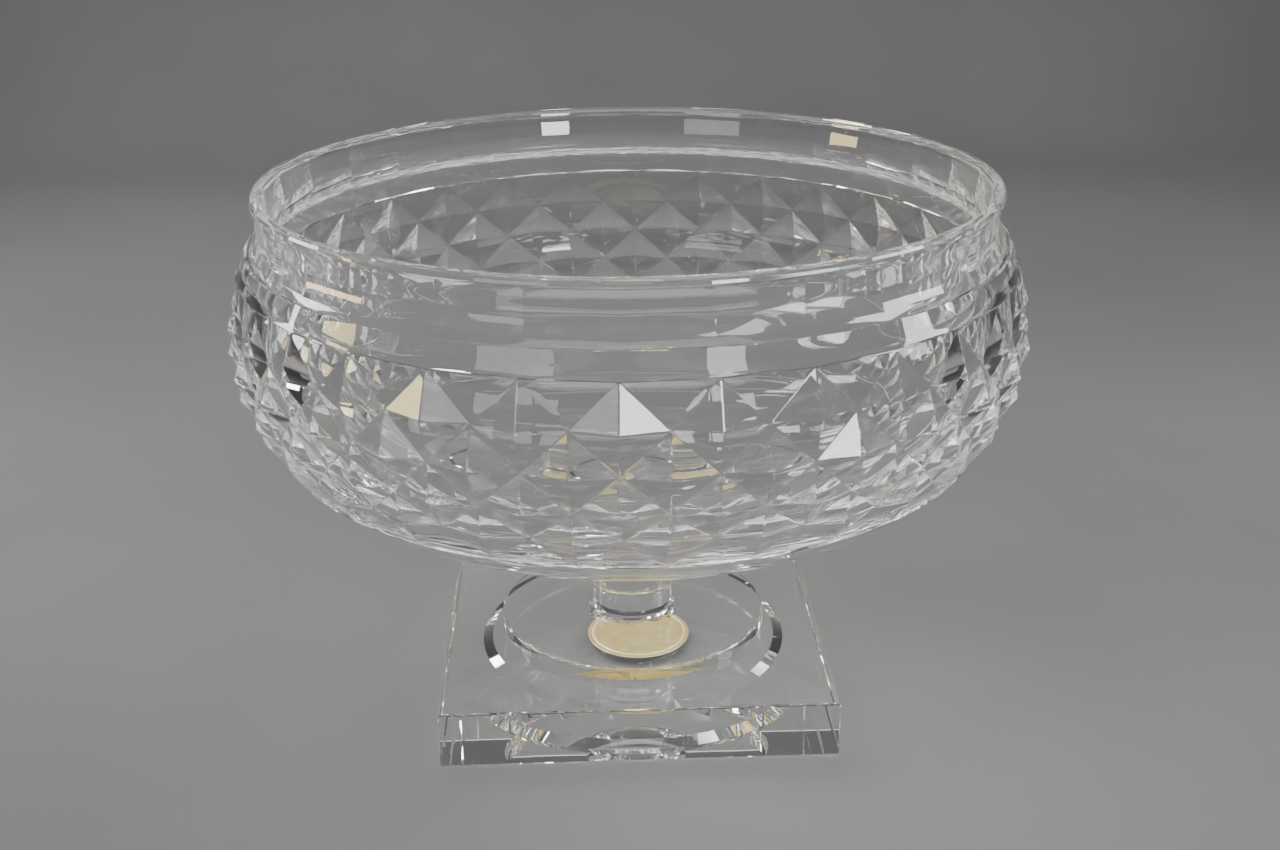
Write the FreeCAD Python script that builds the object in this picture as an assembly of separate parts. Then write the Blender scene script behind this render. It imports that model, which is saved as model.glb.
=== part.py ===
import FreeCAD, Part
import math
import os

from FreeCAD import Vector

# Footed cut-glass punch bowl: a diamond-cut bowl on a short stem and a thick square foot, with a
# plain foil seal stuck underneath.
# Millimetres, +Z up. The origin is the centre of the foot's underside, on the bowl's axis.
# The foot's sides lie along X and Y. Outline points are (radius, height) pairs.

# --- Driving dimensions: bowl -------------------------------------------------------------------
HEIGHT = 210.0              # foot underside to the top of the rim
RIM_RADIUS = 140.0          # outside of the rim
RIM_WALL = 5.0              # glass thickness at the half-round rim

CUTS = 30                   # panels round the neck, and diamonds round each row
CUT_TURN = 2.9              # degrees the cutting is turned against the square foot
STEP = 360.0 / CUTS

PANEL_TOP = (139.0, 206.6)  # panel edges under the plain lip
PANEL_BEND = (138.6, 199.0)  # where the upright panels start to sweep out on to the shoulder
PANEL_FOOT = (143.4, 188.9)  # lower end of the panels, and start of the plain band
PANEL_STEPS = 4             # flats in each panel's sweep
BAND_FOOT = (146.2, 182.8)  # lower edge of the plain band

# Rings of the diamond cutting, top to bottom: radius over the diamonds' points, height, and how
# far in from the points the V grooves cross.
DIAMOND_RINGS = ((146.8, 180.2, 0.0), (151.9, 164.6, 3.6), (152.9, 150.0, 3.8),
                 (150.2, 136.2, 3.6), (144.6, 124.2, 3.2), (135.4, 112.6, 0.0))

BLANK_OUTSIDE = ((156.0, 165.0), (156.5, 148.0), (148.5, 122.0))  # glass ground away by the cuts
UNDERSIDE = ((135.8, 112.4), (122.0, 101.4), (105.0, 92.0), (84.0, 83.4), (58.0, 75.6), (29.0, 70.4))
INSIDE = ((135.0, 207.5), (134.0, 200.0), (133.6, 193.5), (135.0, 186.5), (138.2, 178.0),
          (141.0, 169.0), (142.6, 160.0), (142.6, 151.0), (140.4, 141.0), (135.8, 131.0),
          (128.6, 121.0), (117.5, 111.0), (101.5, 101.8), (76.0, 92.6), (40.0, 86.0), (0.0, 84.0))

# --- Driving dimensions: stem, foot and seal ----------------------------------------------------
STEM_RADIUS = 16.4
STEM_FLARE = 12.6           # sweep from the stem out to the bowl
STEM_BASE = 32.0            # height of the joint between the stem and the foot

FOOT_SIDE = 152.4
FOOT_THICKNESS = 22.8
FOOT_BEVEL = 1.0            # polished bevel along every edge of the square plate
STEP_RADIUS = 54.4          # round step raised on the plate
STEP_HEIGHT = 4.6
STEP_ROUND = 1.2
RECESS_MOUTH = 63.0         # radius of the round recess in the underside
RECESS_CEILING = (59.0, 3.4)  # radius and height of its flat ceiling, above the sloping wall

SEAL_RADIUS = 21.0
SEAL_THICKNESS = 0.3
SEAL_CENTRE = (2.0, -8.0)   # stuck a little off the middle of the ceiling

CLEARANCE = 10.0            # how far a cutting shape runs past the glass


# --- Outlines and rings -------------------------------------------------------------------------
def at(radius, z):
    """A point of a turned outline, in the XZ plane."""
    return Vector(radius, 0, z)


def line(start, end):
    return Part.LineSegment(start, end).toShape()


def chain(points):
    return [line(a, b) for a, b in zip(points, points[1:])]


def arc(start, middle, end):
    return Part.Arc(start, middle, end).toShape()


def curve(points, **directions):
    """A smooth curve through the points, with optional directions at its ends."""
    spline = Part.BSplineCurve()
    spline.interpolate(Points=points, **directions)
    return spline.toShape()


def turned(edges):
    """The solid that a closed outline sweeps round the Z axis."""
    face = Part.Face(Part.Wire(Part.sortEdges(edges)[0]))
    return face.revolve(Vector(0, 0, 0), Vector(0, 0, 1), 360)


def quarter(centre, radius, start):
    """A quarter circle in the XZ plane, starting at an angle in degrees and turning upwards."""
    def on_circle(degrees):
        angle = math.radians(degrees)
        return centre + Vector(radius * math.cos(angle), 0, radius * math.sin(angle))
    return arc(on_circle(start), on_circle(start + 45), on_circle(start + 90))


def ring(radius, z, half_step=False):
    """The corners of one ring of cuts, all round."""
    first = CUT_TURN + (STEP / 2 if half_step else 0.0)
    angles = [math.radians(first + STEP * i) for i in range(CUTS)]
    return [Vector(radius * math.cos(a), radius * math.sin(a), z) for a in angles]


def facet(*corners):
    return Part.Face(Part.makePolygon(list(corners) + [corners[0]]))


def belt(upper, lower):
    """Flat four-sided facets between two rings whose corners are in line."""
    return [facet(upper[i - 1], upper[i], lower[i], lower[i - 1]) for i in range(CUTS)]


# --- Bowl ---------------------------------------------------------------------------------------
def bowl_blank():
    """The turned bowl before it is cut, with its half-round rim and smooth inside."""
    half_wall = RIM_WALL / 2
    rim_z = HEIGHT - half_wall
    rim_outer = at(RIM_RADIUS, rim_z)
    rim_top = at(RIM_RADIUS - half_wall, HEIGHT)
    rim_inner = at(*INSIDE[0])
    lip = [at(*PANEL_FOOT), at(PANEL_FOOT[0], PANEL_BEND[1]), at(RIM_RADIUS, PANEL_TOP[1]), rim_outer]
    outside = [at(*UNDERSIDE[0])] + [at(*p) for p in reversed(BLANK_OUTSIDE)] + [at(*BAND_FOOT)]
    bottom = at(0, UNDERSIDE[-1][1])
    edges = chain(outside + lip)
    down, inwards = Vector(0, 0, -1), Vector(-1, 0, 0)
    inside = curve([at(*p) for p in INSIDE], InitialTangent=down, FinalTangent=inwards)
    edges += [arc(rim_outer, rim_top, rim_inner), inside]
    edges += [line(at(*INSIDE[-1]), bottom), line(bottom, at(*UNDERSIDE[-1]))]
    edges += [curve([at(*p) for p in UNDERSIDE])]
    return turned(edges)


def diamond_facets(crossings, points):
    """Rows of four-sided diamonds between the groove crossings."""
    facets = []
    for row in range(1, len(DIAMOND_RINGS) - 1):
        shift = row % 2
        for i in range(CUTS):
            point = points[row][i]
            above = crossings[row - 1][i]
            below = crossings[row + 1][i]
            left = crossings[row][i - shift]
            right = crossings[row][(i + 1 - shift) % CUTS]
            facets += [facet(point, above, left), facet(point, left, below),
                       facet(point, below, right), facet(point, right, above)]
    return facets


def edge_triangles(edge, crossings, shift=0):
    """Plain triangles between the end row's grooves."""
    return [facet(edge[i], edge[(i + 1) % CUTS], crossings[(i + shift) % CUTS]) for i in range(CUTS)]


def panel_sweep():
    """Rings down the panels, on the arc that leaves upright at the bend and ends at the foot."""
    out = PANEL_FOOT[0] - PANEL_BEND[0]
    drop = PANEL_BEND[1] - PANEL_FOOT[1]
    turn = 2 * math.atan2(out, drop)
    arc_radius = drop / math.sin(turn)
    rings = []
    for i in range(PANEL_STEPS + 1):
        angle = turn * i / PANEL_STEPS
        radius = PANEL_BEND[0] + arc_radius * (1 - math.cos(angle))
        rings.append(ring(radius, PANEL_BEND[1] - arc_radius * math.sin(angle)))
    return rings


def cutting_shape():
    """The flat-sided solid that the panels and V grooves leave, oversize where nothing is cut."""
    last = len(DIAMOND_RINGS) - 1
    offset = last % 2
    crossings = []
    points = []
    for row, (radius, z, depth) in enumerate(DIAMOND_RINGS):
        crossings.append(ring(radius - depth, z, row % 2 == 1))
        points.append(ring(radius, z, row % 2 == 0))
    widest = RIM_RADIUS + 2 * CLEARANCE
    top = ring(widest, HEIGHT + CLEARANCE)
    ledge = ring(PANEL_TOP[0] + CLEARANCE, PANEL_TOP[1] + CLEARANCE / 4)
    over_band = ring(PANEL_FOOT[0] + CLEARANCE, (PANEL_FOOT[1] + BAND_FOOT[1]) / 2)
    under = ring(widest, DIAMOND_RINGS[last][1] - CLEARANCE, offset == 1)
    base = ring(widest, UNDERSIDE[-1][1] - CLEARANCE, offset == 1)
    panels = [top, ledge, ring(*PANEL_TOP)] + panel_sweep() + [over_band, crossings[0]]
    facets = [facet(*top), facet(*base)]
    for upper, lower in zip(panels, panels[1:]):
        facets += belt(upper, lower)
    facets += edge_triangles(crossings[0], crossings[1])
    facets += diamond_facets(crossings, points)
    facets += edge_triangles(crossings[last], crossings[last - 1], offset)
    facets += belt(crossings[last], under) + belt(under, base)
    shell = Part.makeShell(facets)
    shell.sewShape()
    return Part.makeSolid(shell)


def bowl():
    return bowl_blank().common(cutting_shape())


# --- Stem ---------------------------------------------------------------------------------------
def stem():
    top_z = UNDERSIDE[-1][1]
    top_radius = STEM_RADIUS + STEM_FLARE
    flare_centre = at(top_radius, top_z - STEM_FLARE)
    edges = chain([at(top_radius, top_z), at(0, top_z), at(0, STEM_BASE), at(STEM_RADIUS, STEM_BASE),
                   at(STEM_RADIUS, top_z - STEM_FLARE)])
    edges.append(quarter(flare_centre, STEM_FLARE, 90))
    return turned(edges)


# --- Foot ---------------------------------------------------------------------------------------
def foot_plate():
    corner = Vector(-FOOT_SIDE / 2, -FOOT_SIDE / 2, 0)
    plate = Part.makeBox(FOOT_SIDE, FOOT_SIDE, FOOT_THICKNESS, corner)
    return plate.makeChamfer(FOOT_BEVEL, plate.Edges)


def foot_step():
    """The round step on the plate, and the sweep up to the stem."""
    top = FOOT_THICKNESS + STEP_HEIGHT
    sweep = STEM_BASE - top
    sweep_centre = at(STEM_RADIUS + sweep, STEM_BASE)
    round_centre = at(STEP_RADIUS - STEP_ROUND, top - STEP_ROUND)
    middle = FOOT_THICKNESS / 2
    edges = chain([at(STEP_RADIUS - STEP_ROUND, top), at(STEM_RADIUS + sweep, top)])
    edges.append(quarter(sweep_centre, sweep, 180))
    edges += chain([at(STEM_RADIUS, STEM_BASE), at(0, STEM_BASE), at(0, middle), at(STEP_RADIUS, middle),
                    at(STEP_RADIUS, top - STEP_ROUND)])
    edges.append(quarter(round_centre, STEP_ROUND, 0))
    return turned(edges)


def foot_recess():
    """The shallow recess in the underside: a sloping wall round a flat ceiling."""
    radius, z = RECESS_CEILING
    corners = [at(0, z), at(radius, z), at(RECESS_MOUTH, 0), at(RECESS_MOUTH, -CLEARANCE),
               at(0, -CLEARANCE)]
    return turned(chain(corners + corners[:1]))


def foot():
    return foot_plate().fuse(foot_step()).removeSplitter().cut(foot_recess())


# --- Seal ---------------------------------------------------------------------------------------
def foil_seal():
    """The round foil seal, stuck to the recess's ceiling."""
    underside = Vector(*SEAL_CENTRE, RECESS_CEILING[1] - SEAL_THICKNESS)
    return Part.makeCylinder(SEAL_RADIUS, SEAL_THICKNESS, underside)


PARTS = {"bowl": bowl, "stem": stem, "foot": foot, "foil_seal": foil_seal}

os.makedirs("parts", exist_ok=True)
for name, make in PARTS.items():
    solid = make().Solids[0]
    print(name, "valid" if solid.isValid() else "NOT VALID", round(solid.Volume / 1000), "cm3")
    solid.exportStep("parts/" + name + ".step")
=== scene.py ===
import math

import bmesh
import bpy
import numpy as np
from mathutils import Matrix, Vector


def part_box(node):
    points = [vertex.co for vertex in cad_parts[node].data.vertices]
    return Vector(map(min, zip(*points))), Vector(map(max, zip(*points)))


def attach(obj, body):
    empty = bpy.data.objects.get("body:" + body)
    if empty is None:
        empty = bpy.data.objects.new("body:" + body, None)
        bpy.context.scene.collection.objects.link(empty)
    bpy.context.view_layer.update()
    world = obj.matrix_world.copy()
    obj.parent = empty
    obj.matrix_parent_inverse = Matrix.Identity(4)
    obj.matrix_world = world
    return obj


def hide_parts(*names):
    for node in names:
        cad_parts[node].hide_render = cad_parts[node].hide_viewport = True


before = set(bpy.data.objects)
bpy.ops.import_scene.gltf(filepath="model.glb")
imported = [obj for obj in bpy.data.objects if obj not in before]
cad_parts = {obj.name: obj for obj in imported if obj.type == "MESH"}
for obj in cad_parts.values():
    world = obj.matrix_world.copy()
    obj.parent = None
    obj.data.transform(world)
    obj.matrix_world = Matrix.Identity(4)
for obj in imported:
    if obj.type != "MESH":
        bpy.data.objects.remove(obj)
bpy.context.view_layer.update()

MM = 0.001

# Footed cut-glass punch bowl. Outline points are (radius, height) in millimetres above the foot's
# underside. The outlines are those of the CAD solids, with finer curves and polished edges, and the
# overall sizes come from the frame's boxes.

BOWL_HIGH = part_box("bowl")[1]
STEM_LOW, STEM_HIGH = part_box("stem")
FOOT_LOW, FOOT_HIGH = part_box("foot")
SEAL_LOW, SEAL_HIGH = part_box("foil_seal")
HEIGHT = BOWL_HIGH.z / MM

# --- Shape of the bowl --------------------------------------------------------------------------
# A diamond ring is (radius of its points, height, depth of its grooves). A ring with no depth is an
# edge where the cutting runs out. The three BLANK_OUTSIDE points stand outside all the diamonds.
RIM_RADIUS = 140.0
RIM_WALL = 5.0
CUTS = 30
CUT_TURN = 2.9
STEP = 360.0 / CUTS
PANEL_TOP = (139.0, 206.6)
PANEL_BEND = (138.6, 199.0)
PANEL_FOOT = (143.4, 188.9)
PANEL_STEPS = 10
BAND_FOOT = (146.2, 182.8)
DIAMOND_RINGS = ((146.8, 180.2, 0.0), (151.9, 164.6, 3.6), (152.9, 150.0, 3.8),
                 (150.2, 136.2, 3.6), (144.6, 124.2, 3.2), (135.4, 112.6, 0.0))
BLANK_OUTSIDE = ((156.0, 165.0), (156.5, 148.0), (148.5, 122.0))
UNDERSIDE = ((135.8, 112.4), (122.0, 101.4), (105.0, 92.0), (84.0, 83.4), (58.0, 75.6),
             (29.0, 70.4))
INSIDE = ((135.0, 207.5), (134.0, 200.0), (133.6, 193.5), (135.0, 186.5), (138.2, 178.0),
          (141.0, 169.0), (142.6, 160.0), (142.6, 151.0), (140.4, 141.0), (135.8, 131.0),
          (128.6, 121.0), (117.5, 111.0), (101.5, 101.8), (76.0, 92.6), (40.0, 86.0), (0.0, 84.0))

# --- Shape of the stem, foot and seal -----------------------------------------------------------
STEM_RADIUS = 16.4
STEM_FLARE = 12.6
STEM_BASE = STEM_LOW.z / MM
FOOT_SIDE = (FOOT_HIGH.x - FOOT_LOW.x) / MM
FOOT_THICKNESS = 22.8
FOOT_BEVEL = 1.0
STEP_RADIUS = 54.4
STEP_HEIGHT = 4.6
STEP_ROUND = 1.2
RECESS_MOUTH = 63.0
RECESS_CEILING = (59.0, 3.4)
SEAL_RADIUS = (SEAL_HIGH.x - SEAL_LOW.x) / 2 / MM
SEAL_BASE = SEAL_LOW.z / MM
SEAL_TOP = SEAL_HIGH.z / MM
SEAL_BORDER = 2.6           # from the seal's edge in to the ring pressed round it
SEAL_RING = (1.0, 0.12)     # width and depth of that ring
SEAL_EDGE = 0.1             # bevel round the seal's upper edge

# --- Mesh making --------------------------------------------------------------------------------
CLEARANCE = 10.0            # how far a cutting shape reaches past the glass that it cuts
ON_AXIS = 1e-6              # a point nearer the axis than this is one vertex, not a ring
SHARP_TURN = 10.0           # edges that turn more than this many degrees look sharp
EDGE_POLISH = 0.3           # width of the polish along every cut edge
BEVEL_STEPS = 3             # faces across each bevel of the foot
TURNED_SEGMENTS = CUTS * 12
SPAN_STEPS = 8              # points in each span of a curved outline
ARC_STEPS = 8
RING_STEPS = 4

# --- Finishes -----------------------------------------------------------------------------------
FLAT_SLOT = 1               # material slot of the cut and ground faces
JOINT_SLOT = 2              # material slot of the fused joints inside the glass
CRYSTAL_IOR = 1.54
CRYSTAL_TINTS = ((0.970, 0.980, 0.982, 1), (0.990, 0.990, 0.984, 1))
CRYSTAL_SHADOW = (0.82, 0.825, 0.825, 1)
FOIL_GOLDS = ((0.35, (0.98, 0.85, 0.48, 1)), (0.65, (1.0, 0.94, 0.64, 1)))
FOIL_ROLLING = (1.0, 0.04, 1.0)         # stretches the rolling lines along Y
FOIL_CRINKLE = 0.05 * MM

# --- Studio, in metres --------------------------------------------------------------------------
FLOOR_GAP = 0.4 * MM        # air under the ground foot, which touches the cloth only here and there
FLOOR_FRONT, FLOOR_DEPTH = -5.0, 0.95
FLOOR_HALF_WIDTH = 5.0
BACKDROP_TURN, BACKDROP_TOP = 0.30, 1.4
CLOTH_LIGHTNESS = 0.105
CLOTH_MOTTLE = 0.06         # how far the cloth's lightness wanders above that
LIGHT_PATHS = 32            # times that light may turn or reflect inside the cut glass
ROOM_COLOUR = (0.20, 0.20, 0.205, 1)
ROOM_STRENGTH = 1.15
WHITE = (1, 1, 1)
WARM = (1.0, 0.80, 0.36)

# Soft box lights: name, place, the point it faces, width and height, power in watts, colour.
LIGHTS = (
    ("window", (0.55, -1.20, 0.44), (0, -0.1, 0.17), (0.24, 0.30), 6.5, WHITE),
    ("side_window", (0.95, -0.10, 0.70), (0, 0, 0.12), (0.30, 0.60), 8.5, WHITE),
    ("back_window", (-0.45, 0.60, 1.10), (0, 0, 0.12), (0.50, 0.25), 7.5, WHITE),
    ("left_window", (-0.95, 0.30, 0.55), (0, 0, 0.12), (0.22, 0.45), 5.5, WHITE),
    ("ceiling", (0.0, -0.30, 1.70), (0, 0, 0.1), (1.3, 1.3), 12.0, WHITE),
    ("left_card", (-0.75, -1.15, 0.42), (0, 0, 0.15), (0.50, 0.35), 2.0, WHITE),
    ("lamp", (-1.05, -0.06, 0.28), (0, 0, 0.15), (0.22, 0.16), 2.1, WARM),
)

# The photograph's viewpoint: distance from the axis and height in rim radii, the camera's place
# round the axis, its turn, tip and roll in degrees, and its lens and sensor in millimetres.
CAMERA_DISTANCE, CAMERA_HEIGHT = 4.184, 2.440
CAMERA_ANGLES = (-1.79, -2.16, 68.24, -0.54)
CAMERA_LENS, CAMERA_SENSOR = 44.18, 36.0
CAMERA_NEAR = 0.01


# --- Outlines -----------------------------------------------------------------------------------
def arc(centre, radius, start, end, steps=ARC_STEPS):
    """Points of an arc, with angles in degrees from the +radius direction towards +Z."""
    angles = np.radians(np.linspace(start, end, steps + 1))
    return [(centre[0] + radius * math.cos(a), centre[1] + radius * math.sin(a)) for a in angles]


def spline(points, start=None, end=None, steps=SPAN_STEPS):
    """A cubic through the points, by chord length, with optional directions at its ends."""
    p = np.array(points, float)
    h = np.hypot(*np.diff(p, axis=0).T)
    slope = np.diff(p, axis=0) / h[:, None]
    n = len(p)
    system = np.eye(n)
    right = np.zeros((n, 2))
    for i in range(1, n - 1):
        system[i, i - 1:i + 2] = h[i - 1], 2 * (h[i - 1] + h[i]), h[i]
        right[i] = 6 * (slope[i] - slope[i - 1])
    if start is not None:
        system[0, :2] = 2 * h[0], h[0]
        right[0] = 6 * (slope[0] - start)
    if end is not None:
        system[-1, -2:] = h[-1], 2 * h[-1]
        right[-1] = 6 * (np.array(end) - slope[-1])
    bend = np.linalg.solve(system, right)
    line = []
    for i in range(n - 1):
        t = np.linspace(0, h[i], steps, endpoint=False)[:, None]
        rate = slope[i] - h[i] * (2 * bend[i] + bend[i + 1]) / 6
        cubic = (bend[i + 1] - bend[i]) / (6 * h[i])
        line += [tuple(q) for q in p[i] + rate * t + bend[i] / 2 * t ** 2 + cubic * t ** 3]
    return line + [tuple(p[-1])]


# --- Meshes -------------------------------------------------------------------------------------
def new_object(name, bm):
    """Turns a bmesh into an object in the scene."""
    mesh = bpy.data.meshes.new(name)
    bm.to_mesh(mesh)
    bm.free()
    obj = bpy.data.objects.new(name, mesh)
    bpy.context.scene.collection.objects.link(obj)
    return obj


def turned(outline, segments=TURNED_SEGMENTS, joints=()):
    """A closed turned solid. The outline runs from the axis back to the axis, and joints are the
    indexes of the spans that lie inside fused glass."""
    bm = bmesh.new()
    rings = []
    for radius, z in outline:
        if radius < ON_AXIS:
            rings.append([bm.verts.new((0, 0, z * MM))])
            continue
        angles = [2 * math.pi * i / segments for i in range(segments)]
        rings.append([bm.verts.new((radius * MM * math.cos(a), radius * MM * math.sin(a), z * MM))
                      for a in angles])
    for span, (a, b) in enumerate(zip(rings, rings[1:])):
        for i in range(segments):
            j = (i + 1) % segments
            corners = (a[i % len(a)], a[j % len(a)], b[j % len(b)], b[i % len(b)])
            face = bm.faces.new(list(dict.fromkeys(corners)))
            face.smooth = True
            face.material_index = JOINT_SLOT if span in joints else 0
    bmesh.ops.recalc_face_normals(bm, faces=bm.faces)
    return bm


def ring(bm, radius, z, half_step=False):
    """One vertex for each cut round the bowl, turned by half a cut for every second ring."""
    first = CUT_TURN + (STEP / 2 if half_step else 0.0)
    angles = [math.radians(first + STEP * i) for i in range(CUTS)]
    return [bm.verts.new((radius * MM * math.cos(a), radius * MM * math.sin(a), z * MM))
            for a in angles]


def belt(bm, upper, lower):
    """Four-sided faces between two rings."""
    for i in range(CUTS):
        bm.faces.new((upper[i - 1], upper[i], lower[i], lower[i - 1]))


def edge_triangles(bm, edge, crossings, shift=0):
    """The half diamonds between the edge of the cutting and its nearest groove crossings."""
    for i in range(CUTS):
        bm.faces.new((edge[i], edge[(i + 1) % CUTS], crossings[(i + shift) % CUTS]))


def diamonds(bm, crossings, points):
    """Rows of four-sided diamonds between the groove crossings."""
    for row in range(1, len(DIAMOND_RINGS) - 1):
        shift = row % 2
        for i in range(CUTS):
            point = points[row][i]
            around = (crossings[row - 1][i], crossings[row][i - shift], crossings[row + 1][i],
                      crossings[row][(i + 1 - shift) % CUTS])
            for k in range(4):
                bm.faces.new((point, around[k], around[(k + 1) % 4]))


def panel_sweep(bm):
    """Rings down the panels, on the arc that leaves the bend upright and ends at PANEL_FOOT."""
    out = PANEL_FOOT[0] - PANEL_BEND[0]
    drop = PANEL_BEND[1] - PANEL_FOOT[1]
    turn = 2 * math.atan2(out, drop)
    arc_radius = drop / math.sin(turn)
    rings = []
    for i in range(PANEL_STEPS + 1):
        angle = turn * i / PANEL_STEPS
        radius = PANEL_BEND[0] + arc_radius * (1 - math.cos(angle))
        rings.append(ring(bm, radius, PANEL_BEND[1] - arc_radius * math.sin(angle)))
    return rings


def cutting_shape():
    """The flat-sided solid that the panels and V grooves leave, oversize where nothing is cut. Its
    diamond points fall between the groove crossings of their own row."""
    bm = bmesh.new()
    last = len(DIAMOND_RINGS) - 1
    offset = last % 2
    crossings = []
    points = [None]         # the first ring is an edge, with no points
    for row, (radius, z, depth) in enumerate(DIAMOND_RINGS):
        crossings.append(ring(bm, radius - depth, z, row % 2 == 1))
        if 0 < row < last:
            points.append(ring(bm, radius, z, row % 2 == 0))
    widest = RIM_RADIUS + 2 * CLEARANCE
    top = ring(bm, widest, HEIGHT + CLEARANCE)
    ledge = ring(bm, PANEL_TOP[0] + CLEARANCE, PANEL_TOP[1] + CLEARANCE / 4)
    over_band = ring(bm, PANEL_FOOT[0] + CLEARANCE, (PANEL_FOOT[1] + BAND_FOOT[1]) / 2)
    under = ring(bm, widest, DIAMOND_RINGS[last][1] - CLEARANCE, offset == 1)
    base = ring(bm, widest, UNDERSIDE[-1][1] - CLEARANCE, offset == 1)
    panels = [top, ledge, ring(bm, *PANEL_TOP)] + panel_sweep(bm) + [over_band, crossings[0]]
    bm.faces.new(top)
    bm.faces.new(base)
    for upper, lower in zip(panels, panels[1:]):
        belt(bm, upper, lower)
    edge_triangles(bm, crossings[0], crossings[1])
    diamonds(bm, crossings, points)
    edge_triangles(bm, crossings[last], crossings[last - 1], offset)
    belt(bm, crossings[last], under)
    belt(bm, under, base)
    bmesh.ops.recalc_face_normals(bm, faces=bm.faces)
    cut_edges = [e for e in bm.edges if e.calc_face_angle() > math.radians(SHARP_TURN)]
    bmesh.ops.bevel(bm, geom=cut_edges, offset=EDGE_POLISH * MM, segments=1, profile=0.5,
                    affect="EDGES", clamp_overlap=True)
    for face in bm.faces:
        face.material_index = FLAT_SLOT
    return bm


def combine(obj, other, operation):
    """Joins, cuts or crosses one mesh with another, and keeps only the result."""
    step = obj.modifiers.new("combine", "BOOLEAN")
    step.operation = operation
    step.solver = "MANIFOLD"
    step.object = other
    bpy.context.view_layer.update()
    done = obj.evaluated_get(bpy.context.evaluated_depsgraph_get())
    mesh = bpy.data.meshes.new_from_object(done)
    obj.modifiers.remove(step)
    old = obj.data
    obj.data = mesh
    mesh.name = obj.name
    bpy.data.meshes.remove(old)
    bpy.data.objects.remove(other)


def bowl():
    """The blown bowl with its cutting. Its outline's first span is the joint with the stem."""
    half_wall = RIM_WALL / 2
    rim_z = HEIGHT - half_wall
    outline = [(0, UNDERSIDE[-1][1])] + spline(UNDERSIDE)[::-1] + list(BLANK_OUTSIDE[::-1])
    outline += [BAND_FOOT, PANEL_FOOT, (PANEL_FOOT[0], PANEL_BEND[1]), (RIM_RADIUS, PANEL_TOP[1])]
    outline += arc((RIM_RADIUS - half_wall, rim_z), half_wall, 0, 180)[:-1]
    outline += spline(INSIDE, start=(0, -1), end=(-1, 0))
    obj = new_object("bowl_glass", turned(outline, joints=(0,)))
    combine(obj, new_object("bowl_cuts", cutting_shape()), "INTERSECT")
    return obj


def stem():
    """The straight stem that flares into the bowl, with a fused joint at each end."""
    top_z = STEM_HIGH.z / MM
    top_radius = STEM_RADIUS + STEM_FLARE
    outline = [(0, top_z)] + arc((top_radius, top_z - STEM_FLARE), STEM_FLARE, 90, 180)
    outline += [(STEM_RADIUS, STEM_BASE), (0, STEM_BASE)]
    return new_object("stem_glass", turned(outline, joints=(0, len(outline) - 2)))


def foot_plate():
    """The square plate, with its bevelled edges."""
    bm = bmesh.new()
    size = Matrix.Diagonal((FOOT_SIDE * MM, FOOT_SIDE * MM, FOOT_THICKNESS * MM, 1))
    lift = Matrix.Translation((0, 0, FOOT_THICKNESS * MM / 2))
    bmesh.ops.create_cube(bm, size=1, matrix=lift @ size)
    bmesh.ops.bevel(bm, geom=list(bm.edges), offset=FOOT_BEVEL * MM, offset_type="WIDTH",
                    segments=BEVEL_STEPS, profile=0.5, affect="EDGES")
    for face in bm.faces:
        face.material_index = FLAT_SLOT
    return bm


def foot_step():
    """The round step on the plate, and the sweep up to the stem."""
    top = FOOT_THICKNESS + STEP_HEIGHT
    sweep = STEM_BASE - top
    outline = [(0, STEM_BASE)] + arc((STEM_RADIUS + sweep, STEM_BASE), sweep, 180, 270)
    outline += arc((STEP_RADIUS - STEP_ROUND, top - STEP_ROUND), STEP_ROUND, 90, 0)
    outline += [(STEP_RADIUS, FOOT_THICKNESS / 2), (0, FOOT_THICKNESS / 2)]
    return turned(outline, joints=(0,))


def foot_recess():
    """The shallow recess in the underside: a sloping wall round a flat ceiling."""
    radius, z = RECESS_CEILING
    outline = [(0, z), (radius, z), (RECESS_MOUTH, 0)]
    outline += [(RECESS_MOUTH, -CLEARANCE), (0, -CLEARANCE)]
    return turned(outline)


def foot():
    """The whole foot: plate and step in one piece, with the recess cut out."""
    obj = new_object("foot_glass", foot_plate())
    combine(obj, new_object("foot_step", foot_step()), "UNION")
    combine(obj, new_object("foot_recess", foot_recess()), "DIFFERENCE")
    return obj


def foil_seal():
    """The plain foil seal on the recess's ceiling, with one ring pressed round its border."""
    width, depth = SEAL_RING
    outline = [(0, SEAL_TOP)]
    for i in range(RING_STEPS + 1):
        across = i / RING_STEPS
        outline.append((SEAL_RADIUS - SEAL_BORDER + width * across,
                        SEAL_TOP - depth * math.sin(math.pi * across)))
    outline += [(SEAL_RADIUS - SEAL_EDGE, SEAL_TOP), (SEAL_RADIUS, SEAL_TOP - SEAL_EDGE)]
    outline += [(SEAL_RADIUS, SEAL_BASE), (0, SEAL_BASE)]
    bm = turned(outline)
    middle = (SEAL_LOW + SEAL_HIGH) / 2
    bmesh.ops.translate(bm, verts=bm.verts, vec=(middle.x, middle.y, 0))
    return new_object("seal_foil", bm)


# --- Materials ----------------------------------------------------------------------------------
def node(tree, kind, **inputs):
    """Adds a shader node. An input's name has underscores for its spaces."""
    made = tree.nodes.new(kind)
    for name, value in inputs.items():
        made.inputs[name.replace("_", " ")].default_value = value
    return made


def new_material(name):
    """An empty node material, and its node tree."""
    material = bpy.data.materials.new(name)
    material.use_nodes = True
    material.node_tree.nodes.clear()
    return material, material.node_tree


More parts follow.
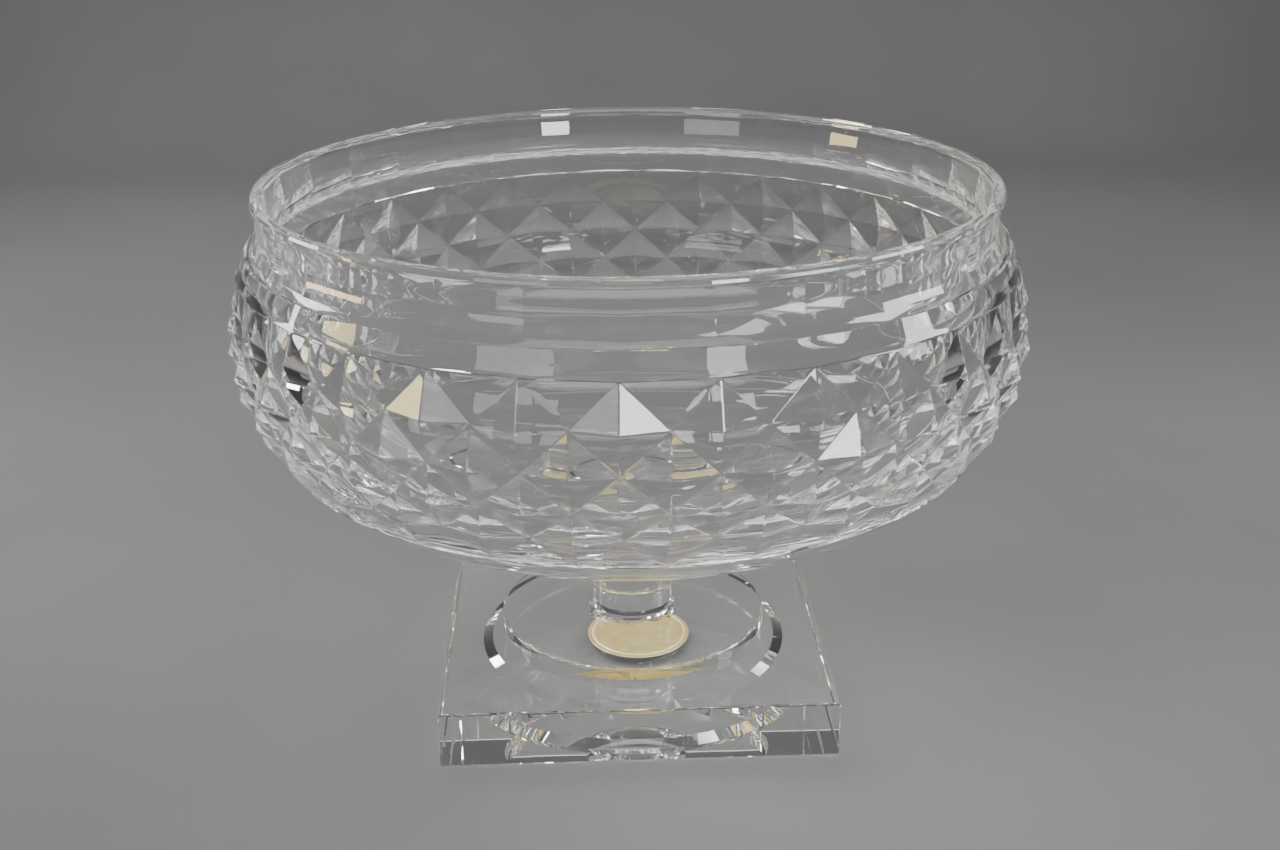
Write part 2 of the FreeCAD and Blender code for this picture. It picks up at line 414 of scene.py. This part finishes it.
def crystal(name, ripple, ripple_depth, haze):
    """Clear lead crystal. ripple and ripple_depth are the size and depth in millimetres of the slow
    waves that blowing or polishing leaves, and haze is the roughness of the faint water marks. Light
    that falls through the glass onto the floor takes the plain shadow colour."""
    material, tree = new_material(name)
    link = tree.links.new
    place = tree.nodes.new("ShaderNodeTexCoord")
    waves = node(tree, "ShaderNodeTexNoise", Scale=1 / (ripple * MM), Detail=1.0, Roughness=0.4)
    bump = node(tree, "ShaderNodeBump", Strength=1.0, Distance=ripple_depth * MM)
    marks = node(tree, "ShaderNodeTexNoise", Scale=90.0, Detail=4.0, Roughness=0.6)
    rough = node(tree, "ShaderNodeMapRange", From_Min=0.5, From_Max=0.8, To_Min=0.0, To_Max=haze)
    tint = node(tree, "ShaderNodeTexNoise", Scale=12.0, Detail=1.0)
    ramp = tree.nodes.new("ShaderNodeValToRGB")
    for stop, colour in zip(ramp.color_ramp.elements, CRYSTAL_TINTS):
        stop.color = colour
    glass = node(tree, "ShaderNodeBsdfPrincipled", IOR=CRYSTAL_IOR, Transmission_Weight=1.0)
    out = tree.nodes.new("ShaderNodeOutputMaterial")
    for noise in (waves, marks, tint):
        link(place.outputs["Object"], noise.inputs["Vector"])
    link(waves.outputs["Fac"], bump.inputs["Height"])
    link(bump.outputs["Normal"], glass.inputs["Normal"])
    link(marks.outputs["Fac"], rough.inputs["Value"])
    link(rough.outputs["Result"], glass.inputs["Roughness"])
    link(tint.outputs["Fac"], ramp.inputs["Fac"])
    link(ramp.outputs["Color"], glass.inputs["Base Color"])
    path = tree.nodes.new("ShaderNodeLightPath")
    let_through = node(tree, "ShaderNodeBsdfTransparent", Color=CRYSTAL_SHADOW)
    mix = tree.nodes.new("ShaderNodeMixShader")
    link(path.outputs["Is Shadow Ray"], mix.inputs["Fac"])
    link(glass.outputs["BSDF"], mix.inputs[1])
    link(let_through.outputs["BSDF"], mix.inputs[2])
    link(mix.outputs["Shader"], out.inputs["Surface"])
    return material


def fused_joint():
    """The inside of a hot joint, where the glass runs on with no surface."""
    material, tree = new_material("fused_joint")
    clear = node(tree, "ShaderNodeBsdfTransparent", Color=(1, 1, 1, 1))
    out = tree.nodes.new("ShaderNodeOutputMaterial")
    tree.links.new(clear.outputs["BSDF"], out.inputs["Surface"])
    return material


def gold_foil():
    """Gold-lacquered foil, rolled one way and slightly crinkled where it was pressed on."""
    material, tree = new_material("gilded_foil")
    link = tree.links.new
    place = tree.nodes.new("ShaderNodeTexCoord")
    roll = tree.nodes.new("ShaderNodeMapping")
    roll.inputs["Scale"].default_value = FOIL_ROLLING
    lines = node(tree, "ShaderNodeTexNoise", Scale=2600.0, Detail=2.0)
    crinkle = node(tree, "ShaderNodeTexNoise", Scale=190.0, Detail=2.0, Roughness=0.5)
    bump = node(tree, "ShaderNodeBump", Strength=1.0, Distance=FOIL_CRINKLE)
    rough = node(tree, "ShaderNodeMapRange", To_Min=0.22, To_Max=0.46)
    ramp = tree.nodes.new("ShaderNodeValToRGB")
    for stop, (position, colour) in zip(ramp.color_ramp.elements, FOIL_GOLDS):
        stop.position = position
        stop.color = colour
    foil = node(tree, "ShaderNodeBsdfPrincipled", Metallic=0.6)
    out = tree.nodes.new("ShaderNodeOutputMaterial")
    link(place.outputs["Object"], roll.inputs["Vector"])
    link(roll.outputs["Vector"], lines.inputs["Vector"])
    link(place.outputs["Object"], crinkle.inputs["Vector"])
    link(crinkle.outputs["Fac"], bump.inputs["Height"])
    link(crinkle.outputs["Fac"], ramp.inputs["Fac"])
    link(lines.outputs["Fac"], rough.inputs["Value"])
    link(ramp.outputs["Color"], foil.inputs["Base Color"])
    link(rough.outputs["Result"], foil.inputs["Roughness"])
    link(bump.outputs["Normal"], foil.inputs["Normal"])
    link(foil.outputs["BSDF"], out.inputs["Surface"])
    return material


def dress(obj, node_name, materials):
    """Gives a piece its materials, hides the CAD node that it stands in for and hangs it under the
    root body.
    """
    slots = obj.data.materials
    for index, material in enumerate(materials):
        if index == len(slots):
            slots.append(None)
        slots[index] = material
    for face in obj.data.polygons:
        face.use_smooth = True
    obj.data.set_sharp_from_angle(angle=math.radians(SHARP_TURN))
    weigh = obj.modifiers.new("flat_faces_stay_flat", "WEIGHTED_NORMAL")
    weigh.keep_sharp = True
    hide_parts(node_name)
    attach(obj, "root")


blown = crystal("crystal_blown", ripple=34.0, ripple_depth=0.12, haze=0.05)
cut = crystal("crystal_cut", ripple=9.0, ripple_depth=0.008, haze=0.03)
ground = crystal("crystal_ground", ripple=40.0, ripple_depth=0.03, haze=0.04)
joint = fused_joint()
dress(bowl(), "bowl", (blown, cut, joint))
dress(stem(), "stem", (blown, cut, joint))
dress(foot(), "foot", (blown, ground, joint))
dress(foil_seal(), "foil_seal", (gold_foil(),))


# --- Floor, light and camera --------------------------------------------------------------------
def floor():
    """A plain pale cloth that lies under the bowl and sweeps up behind it."""
    bm = bmesh.new()
    profile = [(FLOOR_FRONT, 0.0), (FLOOR_DEPTH, 0.0)]
    profile += arc((FLOOR_DEPTH, BACKDROP_TURN), BACKDROP_TURN, -90, 0)[1:]
    profile.append((FLOOR_DEPTH + BACKDROP_TURN, BACKDROP_TOP))
    rows = [[bm.verts.new((x, y, z - FLOOR_GAP)) for x in (-FLOOR_HALF_WIDTH, FLOOR_HALF_WIDTH)]
            for y, z in profile]
    for a, b in zip(rows, rows[1:]):
        bm.faces.new((a[0], a[1], b[1], b[0])).smooth = True
    obj = new_object("studio_floor", bm)
    material, tree = new_material("pale_cloth")
    link = tree.links.new
    place = tree.nodes.new("ShaderNodeTexCoord")
    mottle = node(tree, "ShaderNodeTexNoise", Scale=3.0, Detail=3.0)
    shade = tree.nodes.new("ShaderNodeMath")
    shade.operation = "MULTIPLY_ADD"
    shade.inputs[1].default_value = CLOTH_MOTTLE
    shade.inputs[2].default_value = CLOTH_LIGHTNESS
    cloth = node(tree, "ShaderNodeBsdfPrincipled", Roughness=0.9)
    out = tree.nodes.new("ShaderNodeOutputMaterial")
    link(place.outputs["Object"], mottle.inputs["Vector"])
    link(mottle.outputs["Fac"], shade.inputs[0])
    link(shade.outputs["Value"], cloth.inputs["Base Color"])
    link(cloth.outputs["BSDF"], out.inputs["Surface"])
    obj.data.materials.append(material)


def soft_light(name, place, target, size, power, colour):
    """A soft box light that faces a point."""
    data = bpy.data.lights.new(name, "AREA")
    data.shape = "RECTANGLE"
    data.size, data.size_y = size
    data.energy = power
    data.color = colour
    obj = bpy.data.objects.new(name, data)
    obj.location = place
    obj.rotation_euler = (Vector(target) - Vector(place)).to_track_quat("-Z", "Y").to_euler()
    bpy.context.scene.collection.objects.link(obj)


def camera():
    """The photograph's viewpoint, worked out from the rim's radius."""
    rim = RIM_RADIUS * MM
    distance, height = CAMERA_DISTANCE * rim, CAMERA_HEIGHT * rim
    around, turn, tip, roll = (math.radians(a) for a in CAMERA_ANGLES)
    data = bpy.data.cameras.new("camera")
    data.lens = CAMERA_LENS
    data.sensor_width = CAMERA_SENSOR
    data.clip_start = CAMERA_NEAR
    obj = bpy.data.objects.new("camera", data)
    place = Matrix.Translation((distance * math.sin(around), -distance * math.cos(around), height))
    aim = Matrix.Rotation(turn, 4, "Z") @ Matrix.Rotation(tip, 4, "X") @ Matrix.Rotation(roll, 4, "Z")
    obj.matrix_world = place @ aim
    bpy.context.scene.collection.objects.link(obj)
    bpy.context.scene.camera = obj


def room():
    """The even grey light of the room, with enough light paths to leave the cut glass clear."""
    world = bpy.data.worlds.new("room")
    world.use_nodes = True
    background = world.node_tree.nodes["Background"]
    background.inputs["Color"].default_value = ROOM_COLOUR
    background.inputs["Strength"].default_value = ROOM_STRENGTH
    bpy.context.scene.world = world
    paths = bpy.context.scene.cycles
    paths.max_bounces = LIGHT_PATHS
    paths.glossy_bounces = LIGHT_PATHS
    paths.transmission_bounces = LIGHT_PATHS
    paths.transparent_max_bounces = LIGHT_PATHS


floor()
for light in LIGHTS:
    soft_light(*light)
room()
camera()
